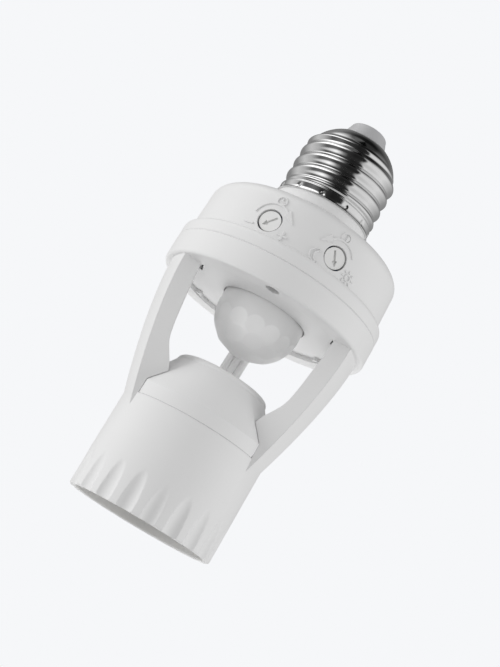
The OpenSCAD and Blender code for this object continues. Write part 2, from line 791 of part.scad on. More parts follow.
module socket_shell() {
    color("gold")
    difference() {
        translate([0, 0, shell_low]) cylinder(r = shell_out_r, h = base_z - shell_low);
        // Thread for the lamp, with a plain lead-in
        thread_body(cap_r + 0.35 - thread_depth, thread_depth, shell_low + 1.6, base_z - 3.2);
        translate([0, 0, shell_low - 1]) cylinder(r = cap_r + 0.35, h = 2.65);
        translate([0, 0, base_z - 3.25]) cylinder(r = cap_r + 0.35 - thread_depth, h = 3.25 - shell_sheet);
        cylinder(r = 6.4, h = base_z + 1);
        for (s = [-1, 1])
            translate([s * rivet_at, 0, base_z - 1]) cylinder(r = rivet_r + 0.05, h = 2, $fn = 32);
    }
}

module centre_contact() {
    drop = 3.6;
    color("gold")
    difference() {
        translate([0, 2.5, base_z]) rotate([90, 0, 0])
            linear_extrude(height = 5)
                polygon([[-2.4, 0], [4.6, 0], [5.2, -0.5], [4.9, -1.2], [0, -drop], [-3.2, -drop + 0.3],
                    [-3.6, -drop + 0.9], [-3.2, -drop + 1.1], [-0.2, -drop + 0.5], [4.2, -1.15],
                    [4.4, -0.75], [4.2, -0.45], [-2.4, -0.45]]);
        translate([0, 0, base_z - 0.6]) cylinder(r = rivet_r + 0.05, h = 2, $fn = 32);
    }
}

// Flat tab on the base's top, from its rivet towards the wire
module tab(x) {
    difference() {
        translate([x, 2.2, base_top]) block([4, 8.4, tab_t], 0.8);
        translate([x, 0, base_top - 1]) cylinder(r = rivet_r + 0.05, h = 4, $fn = 32);
    }
}

module centre_terminal() {
    color("gold") tab(0);
}

module shell_terminals() {
    color("gold") {
        tab(-rivet_at);
        tab(rivet_at);
    }
}

module socket_rivets() {
    color("silver")
    rivet_places() {
        low = base_z - 0.45;
        translate([0, 0, low]) cylinder(r = rivet_r, h = base_top + tab_t - low, $fn = 32);
        translate([0, 0, base_top + tab_t]) cylinder(r = rivet_r + 0.6, h = 0.6, $fn = 32);
        translate([0, 0, low - 0.5]) cylinder(r = rivet_r + 0.5, h = 0.5, $fn = 32);
    }
}

// Wires

// Way of a wire from the board, behind the lens, through the cover to its terminal
function wire_way(x, end_x) = [[x, wire_top_y, board_z], [x, wire_top_y, panel_z - 3.4],
    [x, wire_low_y, cover_top_z + 2.6], [x, wire_low_y, cover_top_z - cover_wall - 2],
    [end_x, 4.6, base_top + tab_t + 4], [end_x, 4.6, base_top + tab_t]];

module wire_left() {
    color("snow") wire_run(wire_way(-wire_step, -rivet_at), wire_r);
}

module wire_middle() {
    color("snow") wire_run(wire_way(0, 0), wire_r);
}

module wire_right() {
    color("snow") wire_run(wire_way(wire_step, rivet_at), wire_r);
}

module live_lead() {
    color("firebrick")
    wire_run([[0, 1.5, board_top], [0, 1.5, cap_z + 4], [0, 0, cap_z + 9], [0, 0, tip_z]], lead_r);
}

module neutral_lead() {
    reach = root_r - cap_sheet - lead_r - 0.05;
    color("royalblue")
    wire_run([[4.4, -1.5, board_top], [4.4, -1.5, cap_z - 4], [bore_r - lead_r - 0.4, -1.5, cap_z + 2],
        [bore_r - lead_r - 0.4, -1.5, cap_z + spigot_h + lead_r + 0.1],
        [reach, -1.5, cap_z + spigot_h + lead_r + 0.1]], lead_r);
}

lower_housing();
upper_housing();
socket_cover();
lens_dome();
cap_shell();
cap_insulator();
cap_contact();
time_knob();
lux_knob();
time_trimmer();
lux_trimmer();
circuit_board();
pir_sensor();
light_sensor();
relay();
film_capacitor();
electrolytic_capacitor();
control_chip();
fuse_resistor();
varistor();
housing_screws();
socket_base();
socket_shell();
centre_contact();
centre_terminal();
shell_terminals();
socket_rivets();
wire_left();
wire_middle();
wire_right();
live_lead();
neutral_lead();
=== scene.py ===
import math

import bmesh
import bpy
from mathutils import Matrix, Vector
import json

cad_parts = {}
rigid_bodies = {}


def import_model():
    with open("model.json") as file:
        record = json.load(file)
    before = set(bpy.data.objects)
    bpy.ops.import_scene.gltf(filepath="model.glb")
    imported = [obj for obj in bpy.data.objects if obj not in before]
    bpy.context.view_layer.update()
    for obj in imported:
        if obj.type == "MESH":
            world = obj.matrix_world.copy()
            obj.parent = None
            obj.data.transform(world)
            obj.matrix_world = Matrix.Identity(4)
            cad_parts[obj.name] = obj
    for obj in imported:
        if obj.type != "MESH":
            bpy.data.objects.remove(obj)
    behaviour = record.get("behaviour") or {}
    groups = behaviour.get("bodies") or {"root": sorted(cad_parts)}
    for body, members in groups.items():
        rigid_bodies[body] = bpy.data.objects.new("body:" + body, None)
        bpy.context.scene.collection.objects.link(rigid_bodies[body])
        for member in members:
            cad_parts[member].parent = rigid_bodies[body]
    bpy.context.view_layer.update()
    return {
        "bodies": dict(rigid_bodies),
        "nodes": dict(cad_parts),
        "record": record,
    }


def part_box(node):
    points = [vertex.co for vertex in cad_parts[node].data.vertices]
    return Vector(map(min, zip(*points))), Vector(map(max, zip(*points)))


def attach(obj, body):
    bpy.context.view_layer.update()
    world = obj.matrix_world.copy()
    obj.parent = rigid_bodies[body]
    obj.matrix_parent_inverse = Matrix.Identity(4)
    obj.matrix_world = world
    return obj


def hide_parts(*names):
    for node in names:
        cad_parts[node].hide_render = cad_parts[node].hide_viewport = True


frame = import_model()
NODES = frame["nodes"]
MM = 0.001


# ---------------------------------------------------------------- materials

def linear(hex_colour):
    """An sRGB hex colour as linear RGBA."""
    parts = [int(hex_colour[i:i + 2], 16) / 255 for i in (1, 3, 5)]
    return tuple(c / 12.92 if c <= 0.04045 else ((c + 0.055) / 1.055) ** 2.4
                 for c in parts) + (1.0,)


def add(tree, kind, settings=None, links=None):
    """Adds a node, sets its properties and socket values, and links its inputs."""
    node = tree.nodes.new(kind)
    for name, value in (settings or {}).items():
        if isinstance(name, int) or name in node.inputs:
            node.inputs[name].default_value = value
        else:
            setattr(node, name, value)
    for name, source in (links or {}).items():
        tree.links.new(source, node.inputs[name])
    return node


def material(name):
    """An empty material, its node tree and its principled shader."""
    made = bpy.data.materials.new(name)
    made.use_nodes = True
    tree = made.node_tree
    return made, tree, tree.nodes["Principled BSDF"]


def per_mm(size):
    """Scale of a pattern whose cells are this many millimetres across."""
    return 1 / (size * MM)


def moulded(name, colour, shade, rough, edge_mm=0.0, grain=0.05):
    """Injection-moulded plastic: satin, with the faint spark-eroded grain of its mould,
    clouds of slightly different gloss, and corners that the mould leaves a little round."""
    made, tree, shader = material(name)
    place = add(tree, "ShaderNodeTexCoord").outputs["Object"]
    cloud = add(tree, "ShaderNodeTexNoise", {"Scale": per_mm(14), "Detail": 3.0},
                {"Vector": place})
    tint = add(tree, "ShaderNodeMix", {"data_type": "RGBA", 6: linear(colour), 7: linear(shade)},
               {"Factor": cloud.outputs["Fac"]})
    tree.links.new(tint.outputs[2], shader.inputs["Base Color"])
    gloss = add(tree, "ShaderNodeMapRange", {"To Min": rough - 0.05, "To Max": rough + 0.05},
                {"Value": cloud.outputs["Fac"]})
    tree.links.new(gloss.outputs[0], shader.inputs["Roughness"])
    pits = add(tree, "ShaderNodeTexNoise", {"Scale": per_mm(0.35), "Detail": 2.0},
               {"Vector": place})
    bump = add(tree, "ShaderNodeBump", {"Strength": grain, "Distance": 0.02 * MM},
               {"Height": pits.outputs["Fac"]})
    if edge_mm:
        rounded = add(tree, "ShaderNodeBevel", {"samples": 6, "Radius": edge_mm * MM})
        tree.links.new(rounded.outputs[0], bump.inputs["Normal"])
    tree.links.new(bump.outputs[0], shader.inputs["Normal"])
    shader.inputs["IOR"].default_value = 1.5
    return made


def sheet_metal(name, colour, rough, wear_mm, stretch=1.0):
    """Rolled and plated sheet: a mirror with faint clouding where the rollers passed."""
    made, tree, shader = material(name)
    shader.inputs["Metallic"].default_value = 1.0
    place = add(tree, "ShaderNodeTexCoord").outputs["Object"]
    drawn = add(tree, "ShaderNodeMapping", {"Scale": (1, 1, stretch)}, {"Vector": place})
    cloud = add(tree, "ShaderNodeTexNoise", {"Scale": per_mm(wear_mm), "Detail": 4.0},
                {"Vector": drawn.outputs[0]})
    gloss = add(tree, "ShaderNodeMapRange", {"To Min": rough * 0.6, "To Max": rough * 1.5},
                {"Value": cloud.outputs["Fac"]})
    tree.links.new(gloss.outputs[0], shader.inputs["Roughness"])
    tint = add(tree, "ShaderNodeMix",
               {"data_type": "RGBA", 6: linear(colour), 7: linear(colour)},
               {"Factor": cloud.outputs["Fac"]})
    tint.inputs[7].default_value = tuple(c * 0.86 for c in linear(colour)[:3]) + (1,)
    tree.links.new(tint.outputs[2], shader.inputs["Base Color"])
    return made


WHITE = moulded("satin_white_abs", "#EBEBEB", "#E6E6E6", 0.46, edge_mm=0.25)
KNOB_WHITE = moulded("knob_white_abs", "#EEEEED", "#E9E9E8", 0.42, edge_mm=0.12)
SIGN_WHITE = moulded("raised_white_abs", "#EBEBEB", "#E6E6E6", 0.42, edge_mm=0.08)
IVORY = moulded("heat_resistant_phenolic", "#DDD9CB", "#D2CDBD", 0.6, grain=0.12)
GREY_INSULATOR = moulded("moulded_grey_insulator", "#BFBFC0", "#B4B4B6", 0.38)
NICKEL = sheet_metal("bright_nickel_plate", "#E8E8E8", 0.1, 6)
TIN = sheet_metal("solder_tinned_contact", "#CFCFCE", 0.28, 1.2)
# dark screw steel, painted darker still as painted shade for the depth of its well
DARK_SCREW_PAINTED_SHADE = sheet_metal("dark_screw_steel_painted_well_shade", "#47484A", 0.4, 0.8)
CAN = sheet_metal("drawn_nickel_can", "#C4C4C4", 0.3, 0.6, stretch=8.0)
PLATED_BRASS = sheet_metal("plated_brass_shell", "#D9D2BC", 0.25, 4)
BRONZE = sheet_metal("phosphor_bronze_spring", "#DDB67A", 0.28, 2, stretch=4.0)
BRASS = sheet_metal("stamped_brass_terminal", "#DDC184", 0.32, 1.5)


def glossy_skin(name, colour, shade, rough, mottling_mm):
    """Cast, dipped or extruded skin that set from a liquid: smooth and glossy, with slow
    waves in its surface and a slightly uneven colour."""
    made, tree, shader = material(name)
    place = add(tree, "ShaderNodeTexCoord").outputs["Object"]
    cloud = add(tree, "ShaderNodeTexNoise", {"Scale": per_mm(mottling_mm), "Detail": 2.0},
                {"Vector": place})
    tint = add(tree, "ShaderNodeMix",
               {"data_type": "RGBA", 6: linear(colour), 7: linear(shade)},
               {"Factor": cloud.outputs["Fac"]})
    wave = add(tree, "ShaderNodeBump", {"Strength": 0.15, "Distance": 0.05 * MM},
               {"Height": cloud.outputs["Fac"]})
    tree.links.new(tint.outputs[2], shader.inputs["Base Color"])
    tree.links.new(wave.outputs[0], shader.inputs["Normal"])
    shader.inputs["Roughness"].default_value = rough
    return made


INSULATION = glossy_skin("white_pvc_insulation", "#FCFCFC", "#F8F8F8", 0.34, 3)
RED_INSULATION = glossy_skin("red_pvc_insulation", "#A8281E", "#96221A", 0.34, 3)
BLUE_INSULATION = glossy_skin("blue_pvc_insulation", "#2B4C93", "#254283", 0.34, 3)
SOLDER_MASK = glossy_skin("green_solder_mask", "#1F6B3A", "#195A30", 0.3, 2)
TRIMMER_BLUE = moulded("trimmer_blue_pbt", "#3A66B4", "#335BA2", 0.45)
RELAY_BLUE = glossy_skin("relay_blue_pbt", "#2A4A9C", "#24408A", 0.3, 5)
FILM_OCHRE = glossy_skin("dipped_ochre_epoxy", "#C99A33", "#B88A28", 0.25, 2)
SHRINK_FILM = glossy_skin("black_shrink_film", "#22262B", "#1B1F24", 0.25, 4)
MOULD_COMPOUND = moulded("black_moulding_compound", "#2B2B2C", "#222223", 0.62)
GREEN_LACQUER = glossy_skin("green_resistor_lacquer", "#4C8A5C", "#3F7A4F", 0.3, 1.5)
DISC_LACQUER = glossy_skin("orange_disc_epoxy", "#C9742B", "#B86624", 0.28, 1.5)
CLEAR_RESIN = glossy_skin("clear_cast_epoxy", "#E4E8EB", "#DCE1E5", 0.08, 2)
CLEAR_RESIN.node_tree.nodes["Principled BSDF"].inputs["Transmission Weight"].default_value = 0.7


def milky_polyethylene(name):
    """Blow-moulded high-density polyethylene: milky and waxy. A mask paints the band of wall
    next to the panel darker as painted shade, keeps the small lenses and the lower bowl lighter,
    and paints thin lines of shade along the lenses' edges."""
    made, tree, shader = material(name)
    place = add(tree, "ShaderNodeTexCoord").outputs["Object"]
    cloud = add(tree, "ShaderNodeTexNoise", {"Scale": per_mm(5), "Detail": 2.0},
                {"Vector": place})
    # painted shade: where the mask is low, in the band next to the panel and along the flats'
    # edges, the colour is #F2F2F2 against #FCFCFC on the lenses and the lower bowl
    painted_shade_zone = add(tree, "ShaderNodeAttribute", {"attribute_name": "lens_painted_shade_mask"})
    tint = add(tree, "ShaderNodeMix",
               {"data_type": "RGBA", 6: linear("#F2F2F2"), 7: linear("#FCFCFC")},
               {"Factor": painted_shade_zone.outputs["Fac"]})
    mottled = add(tree, "ShaderNodeMix",
                  {"data_type": "RGBA", "blend_type": "MULTIPLY", 7: linear("#FAFAFA")},
                  {"Factor": cloud.outputs["Fac"], 6: tint.outputs[2]})
    tree.links.new(mottled.outputs[2], shader.inputs["Base Color"])
    gloss = add(tree, "ShaderNodeMapRange", {"To Min": 0.26, "To Max": 0.38},
                {"Value": cloud.outputs["Fac"]})
    tree.links.new(gloss.outputs[0], shader.inputs["Roughness"])
    shader.inputs["Subsurface Weight"].default_value = 0.08
    shader.inputs["Subsurface Radius"].default_value = (1.0, 1.0, 1.0)
    shader.inputs["Subsurface Scale"].default_value = 0.8 * MM
    shader.inputs["IOR"].default_value = 1.54
    return made


MILKY = milky_polyethylene("milky_hdpe")

FINISH = {
    "housing": WHITE, "lens": MILKY, "plated_shell": NICKEL, "insulator": GREY_INSULATOR,
    "tin": TIN, "knob": KNOB_WHITE, "trimmer": TRIMMER_BLUE, "board": SOLDER_MASK, "can": CAN,
    "clear_resin": CLEAR_RESIN, "relay_case": RELAY_BLUE, "film": FILM_OCHRE,
    "sleeve_film": SHRINK_FILM, "dark_resin": MOULD_COMPOUND, "green_lacquer": GREEN_LACQUER,
    "disc_lacquer": DISC_LACQUER, "screw_steel": DARK_SCREW_PAINTED_SHADE, "heat_resin": IVORY,
    "socket_metal": PLATED_BRASS, "spring_metal": BRONZE, "terminal_metal": BRASS,
    "white_insulation": INSULATION, "red_insulation": RED_INSULATION,
    "blue_insulation": BLUE_INSULATION,
}


# ------------------------------------------------------------------- meshes

BODY_OF = {node: body for node in NODES for body, empty in frame["bodies"].items()
           if NODES[node].parent is empty}
SLOT_OF = {row["node"]: row["material_slot"] for row in frame["record"]["subparts"]}


def piece(name, mesh, finish, body, slot, *stands_for):
    """A finished mesh as a piece of the object, riding on its body."""
    made = bpy.data.objects.new(name, mesh)
    bpy.context.scene.collection.objects.link(made)
    mesh.materials.clear()
    mesh.materials.append(finish)
    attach(made, body)
    if stands_for:
        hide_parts(*stands_for)
    return made


def smooth(mesh, degrees):
    """Shades smooth, with hard edges where two faces meet at more than this angle."""
    for face in mesh.polygons:
        face.use_smooth = True
    mesh.set_sharp_from_angle(angle=math.radians(degrees))


def rounded_copy(node, degrees=24, fuller_mm=0.0):
    """A node's own shape with its facets blended, as the turned and moulded surface is."""
    mesh = bpy.data.meshes.new(node + "_smooth")
    shape = bmesh.new()
    shape.from_mesh(NODES[node].data)
    bmesh.ops.remove_doubles(shape, verts=shape.verts, dist=0.002 * MM)
    bmesh.ops.dissolve_degenerate(shape, edges=shape.edges, dist=0.001 * MM)
    bmesh.ops.recalc_face_normals(shape, faces=shape.faces)
    shape.normal_update()
    for vert in shape.verts:
        vert.co += vert.normal * fuller_mm * MM
    shape.to_mesh(mesh)
    shape.free()
    if mesh.attributes.get("custom_normal"):
        mesh.attributes.remove(mesh.attributes["custom_normal"])
    smooth(mesh, degrees)
    slot = SLOT_OF[node]
    return piece(node + "_smooth", mesh, FINISH[slot], BODY_OF[node], slot, node)


def turned_grid(name, rings, closed=True):
    """A mesh from rings of points, each ring running round the axis; the first and last
    rings are joined to close the shell."""
    around = len(rings[0])
    points = [point for ring in rings for point in ring]
    count = len(rings)
    faces = []
    for i in range(count if closed else count - 1):
        for k in range(around):
            a, b = i * around, ((i + 1) % count) * around
            faces.append((a + k, a + (k + 1) % around, b + (k + 1) % around, b + k))
    mesh = bpy.data.meshes.new(name)
    mesh.from_pydata(points, [], faces)
    shape = bmesh.new()
    shape.from_mesh(mesh)
    bmesh.ops.recalc_face_normals(shape, faces=shape.faces)
    shape.to_mesh(mesh)
    shape.free()
    return mesh


def at(radius, azimuth, z):
    """A point in metres from millimetres and an azimuth in radians, 0 at the front and
    positive to the right."""
    return (radius * math.sin(azimuth) * MM, -radius * math.cos(azimuth) * MM, z * MM)


WIRE_SWELL = 0.14

# Every node has its finish; those that show their curves get a smooth copy
for node, made in NODES.items():
    finish = FINISH[SLOT_OF[node]]
    if made.data.materials:
        for i in range(len(made.data.materials)):
            made.material_slots[i].material = finish
    else:
        made.data.materials.append(finish)

for node in ("upper_housing", "socket_cover", "time_knob", "lux_knob",
             "cap_insulator", "cap_contact", "housing_screws", "socket_shell",
             "socket_base", "centre_contact", "socket_rivets"):
    rounded_copy(node)
for node in ("wire_left", "wire_middle", "wire_right"):
    rounded_copy(node, degrees=60, fuller_mm=WIRE_SWELL)


# Lower housing: the node's own shape above the flutes, and below them a finer skin

SLEEVE_R, SLEEVE_IN_R, RIM_ROUND = 19.2, 17.6, 0.5
FOOT_TOP = 13.0
FLUTES, FLUTE_TURN = 20, 6.0
FLUTE_W, FLUTE_H, FLUTE_DEPTH = 4.2, 9.8, 0.9
SCOOP = (FLUTE_W ** 2 / 8) / (FLUTE_DEPTH - FLUTE_W ** 2 / (8 * SLEEVE_R))


def flute_floor(azimuth, z):
    """Radius of the scooped flutes' own surface at a place on the sleeve."""
    step = 2 * math.pi / FLUTES
    off = (azimuth - math.radians(FLUTE_TURN) + step / 2) % step - step / 2
    out = SLEEVE_R - FLUTE_DEPTH * (1 - (max(z, 0) / FLUTE_H) ** 2.2) + SCOOP
    side = out * math.sin(off)
    if abs(side) > SCOOP:
        return SLEEVE_R + 2
    return out * math.cos(off) - math.sqrt(SCOOP ** 2 - side ** 2)


def soft_least(a, b, reach=0.1):
    """The lesser of two radii, with the corner between them rounded."""
    near = max(0.0, 1 - abs(a - b) / reach)
    return min(a, b) - near * near * reach / 4


def foot_rings():
    turns = [2 * math.pi * k / 480 for k in range(480)]
    rings, z = [], FOOT_TOP
    while z > RIM_ROUND:
        rings.append([at(soft_least(SLEEVE_R, flute_floor(a, z)), a, z) for a in turns])
        z -= 0.25
    for step in range(0, 91, 15):
        drop = RIM_ROUND * math.sin(math.radians(step))
        skin = SLEEVE_R - RIM_ROUND + RIM_ROUND * math.cos(math.radians(step))
        rings.append([at(soft_least(skin, flute_floor(a, RIM_ROUND - drop)), a,
                         RIM_ROUND - drop) for a in turns])
    for step in range(90, -1, -15):
        rise = RIM_ROUND * (1 - math.sin(math.radians(step)))
        rings.append([at(SLEEVE_IN_R + RIM_ROUND - RIM_ROUND * math.cos(math.radians(step)), a,
                         rise) for a in turns])
    rings.append([at(SLEEVE_IN_R, a, FOOT_TOP) for a in turns])
    return rings


housing_mesh = bpy.data.meshes.new("fluted_lower_housing")
shape = bmesh.new()
shape.from_mesh(NODES["lower_housing"].data)
bmesh.ops.remove_doubles(shape, verts=shape.verts, dist=0.002 * MM)
cut = bmesh.ops.bisect_plane(shape, geom=shape.verts[:] + shape.edges[:] + shape.faces[:],
                             dist=0.0001 * MM, plane_co=(0, 0, FOOT_TOP * MM),
                             plane_no=(0, 0, 1), clear_inner=True)
bmesh.ops.bridge_loops(shape, edges=[e for e in cut["geom_cut"]
                                     if isinstance(e, bmesh.types.BMEdge)])
shape.from_mesh(turned_grid("foot", foot_rings()))
bmesh.ops.recalc_face_normals(shape, faces=shape.faces)
shape.to_mesh(housing_mesh)
shape.free()
if housing_mesh.attributes.get("custom_normal"):
    housing_mesh.attributes.remove(housing_mesh.attributes["custom_normal"])
smooth(housing_mesh, 24)
piece("fluted_lower_housing", housing_mesh, WHITE, BODY_OF["lower_housing"], "housing",
      "lower_housing")


# Screw cap: rolled thread, punched skirt and rounded end, in thin sheet

CAP_Z, CAP_TOP = 89.7, 112.6
THREAD_Z, THREAD_TOP = 92.3, 107.5
END_Z, END_R = 104.3, 6.1
SKIRT_R, ROOT_R = 12.93, 12.25
PITCH, DEPTH, SHEET = 3.629, 0.8, 0.3
DIMPLES, FIRST_DIMPLE, DIMPLE_Z = 12, -39.5, 90.75


def shell_radius(z):
    """Outline of the cap without its thread."""
    if z < CAP_Z + 0.9:
        t = (z - CAP_Z) / 0.9
        return SKIRT_R + 0.3 * (1 - t) ** 2
    if z < THREAD_Z - 0.4:
        return SKIRT_R
    if z < THREAD_Z + 0.3:
        t = (z - THREAD_Z + 0.4) / 0.7
        return SKIRT_R + (ROOT_R - SKIRT_R) * t * t * (3 - 2 * t)
    if z < END_Z:
        return ROOT_R
    t = min(1.0, (z - END_Z) / (CAP_TOP - END_Z))
    return END_R + (ROOT_R - END_R) * (1 - t * t) ** 0.75


def thread_height(z, azimuth):
    """How far the rolled thread stands out, fading where it runs in and out."""
    # the wave turns the way of a right-hand screw
    turn = (azimuth - math.pi / 2) / (2 * math.pi)
    wave = (1 + math.cos(2 * math.pi * ((z - THREAD_Z) / PITCH - turn - 0.38))) / 2
    fade = max(0.0, min(1.0, (z - THREAD_Z) / 1.3, (THREAD_TOP - z) / 1.6))
    fade = fade * fade * (3 - 2 * fade)
    return DEPTH * wave ** 0.8 * fade


def dimple(z, azimuth):
    """Depth of the small dents that the punch leaves to hold the cap on its collar."""
    step = 360 / DIMPLES
    off = (math.degrees(azimuth) - FIRST_DIMPLE + step / 2) % step - step / 2
    across = math.radians(off) * SKIRT_R
    far = (across / 0.42) ** 2 + ((z - DIMPLE_Z) / 0.5) ** 2
    return 0.42 * math.exp(-far)


def cap_rings():
    heights, z = [], CAP_Z
    while z < CAP_TOP - 0.05:
        heights.append(z)
        z += 0.13 if z < THREAD_Z else 0.2 if z < THREAD_TOP + 0.5 else 0.3
    heights.append(CAP_TOP)
    turns = [2 * math.pi * k / 360 for k in range(360)]
    rings = [[at(shell_radius(z) + thread_height(z, a) - dimple(z, a), a, z) for a in turns]
             for z in heights]
    # round the edge of the end's hole, and down the inside of the sheet
    rings.append([at(END_R - 0.3, a, CAP_TOP) for a in turns])
    rings.append([at(END_R - 0.3, a, CAP_TOP - SHEET) for a in turns])
    for z in (111.5, 110, 108, 106, 104, 98, 93.2, 92.4, 92, 90):
        rings.append([at(shell_radius(z) - SHEET, a, z - 0.1) for a in turns])
    rings.append([at(SKIRT_R - SHEET, a, CAP_Z) for a in turns])
    return rings


cap_mesh = turned_grid("rolled_cap_shell", cap_rings())
smooth(cap_mesh, 50)
piece("rolled_cap_shell", cap_mesh, NICKEL, BODY_OF["cap_shell"], "plated_shell", "cap_shell")


# Lens: a bowl whose skin is divided into round flats, one for each small lens inside

LENS_R, LENS_WALL = 11.15, 1.0
LENS_TOP, LENS_CURVE_Z = 62.1, 57.5
LENS_RISE = 10.4
FLAT_HALF = math.radians(12.5)
FLAT_ROWS = ((0, 1, 0), (24, 6, 0), (47, 10, 12), (70, 14, 0))


def lens_flats():
    """Directions in which the small lenses look."""
    found = []
    for polar, count, shift in FLAT_ROWS:
        for i in range(count):
            a = math.radians(360 * i / count + shift)
            p = math.radians(polar)
            found.append(Vector((math.sin(p) * math.sin(a), -math.sin(p) * math.cos(a),
                                 -math.cos(p))))
    return found


def lens_rings():
    flats = lens_flats()
    turns = [2 * math.pi * k / 240 for k in range(240)]
    rings = []
    for i in range(1, 91):
        p = math.radians(i)
        ring = []
        for a in turns:
            look = Vector((math.sin(p) * math.sin(a), -math.sin(p) * math.cos(a), -math.cos(p)))
            near = max(look.dot(f) for f in flats)
            share = min(1.0, math.cos(FLAT_HALF) / near) if near > 0.1 else 1.0
            ring.append((look.x * share * LENS_R * MM, look.y * share * LENS_R * MM,
                         (LENS_CURVE_Z + look.z * share * LENS_RISE) * MM))
        rings.append(ring)
    rings.append([at(LENS_R, a, LENS_TOP) for a in turns])
    return rings


outer = lens_rings()
low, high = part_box("lens_dome")
flange_r = high.x / MM
flange_top = high.z / MM
turns = [2 * math.pi * k / 240 for k in range(240)]
outer.append([at(flange_r, a, LENS_TOP) for a in turns])
outer.append([at(flange_r, a, flange_top) for a in turns])
outer.append([at(LENS_R - LENS_WALL, a, flange_top) for a in turns])
for step in range(90, 0, -6):
    p = math.radians(step)
    outer.append([at((LENS_R - LENS_WALL) * math.sin(p), a,
                     LENS_CURVE_Z - (LENS_RISE - LENS_WALL) * math.cos(p)) for a in turns])
lens_mesh = bpy.data.meshes.new("faceted_lens")
lens_mesh.from_pydata(*[list(x) for x in (
    [p for ring in outer for p in ring],
    [],
    [(i * 240 + k, i * 240 + (k + 1) % 240, (i + 1) * 240 + (k + 1) % 240, (i + 1) * 240 + k)
     for i in range(len(outer) - 1) for k in range(240)]
    + [tuple(range(240))]
    + [tuple((len(outer) - 1) * 240 + k for k in range(239, -1, -1))],
)])
shape = bmesh.new()
shape.from_mesh(lens_mesh)
bmesh.ops.recalc_face_normals(shape, faces=shape.faces)
shape.to_mesh(lens_mesh)
shape.free()
smooth(lens_mesh, 40)
flats = lens_flats()
# painted shade mask: 1 on the small lenses' flats and on the bowl below 68 degrees from the
# bottom, 0 in the band next to the panel, which stands for the shade under the panel's edge
painted_shade_zone = lens_mesh.attributes.new("lens_painted_shade_mask", "FLOAT", "POINT")
for vert in lens_mesh.vertices:
    look = Vector((vert.co.x / LENS_R, vert.co.y / LENS_R,
                   (vert.co.z - LENS_CURVE_Z * MM) / LENS_RISE)).normalized()
    near = max(look.dot(f) for f in flats)
    off = math.degrees(math.acos(min(1.0, near)))
    edge = math.degrees(FLAT_HALF)
    in_flat = max(0.0, min(1.0, (edge + 0.6 - off) / 1.2))
    below = 1.0 if math.degrees(math.acos(max(-1.0, min(1.0, -look.z)))) < 68 else 0.0
    # a thin line of painted shade along each flat's edge
    rim = 0.12 * (1 - abs(off - edge) / 0.9) if abs(off - edge) < 0.9 else 0.0
    painted_shade_zone.data[vert.index].value = max(in_flat, below) - rim
piece("faceted_lens", lens_mesh, MILKY, BODY_OF["lens_dome"], "lens", "lens_dome")


# Raised signs on the drum: strokes and small flats, drawn flat and laid round its wall

DRUM_FOOT_Z, DRUM_SIDE_Z = 69.7, 79.3
KNOB_AZIMUTH, KNOB_Z = 19.5, 73.5
RAISED, SUNK = 0.3, 0.2


def drum_radius(z):
    if z < DRUM_SIDE_Z:
        return 26.5 - 0.3 * (z - DRUM_FOOT_Z) / (DRUM_SIDE_Z - DRUM_FOOT_Z)
    lean = math.asin(min(1.0, (z - DRUM_SIDE_Z) / 4.3))
    return 20 + 6.2 * math.cos(lean)


def arc(cx, cy, radius, start, end, steps=20):
    """Points on a circle, in millimetres, from one angle to another in degrees."""
    return [(cx + radius * math.cos(math.radians(start + (end - start) * i / steps)),
             cy + radius * math.sin(math.radians(start + (end - start) * i / steps)))
            for i in range(steps + 1)]


def stroke(points, width, closed=False):
    """Both sides of a line of even width, as a list of short four-cornered flats."""
    count = len(points)
    sides = []
    for i, (x, y) in enumerate(points):
        before = points[i - 1] if i or closed else points[i]
        after = points[(i + 1) % count] if i < count - 1 or closed else points[i]
        dx, dy = after[0] - before[0], after[1] - before[1]
        far = math.hypot(dx, dy)
        nx, ny = -dy / far * width / 2, dx / far * width / 2
        sides.append(((x + nx, y + ny), (x - nx, y - ny)))
    return sides


def lay_on_drum(azimuth, u, v, height):
    z = KNOB_Z + v
    return at(drum_radius(z) + height, math.radians(azimuth) + u / 26.4, z)


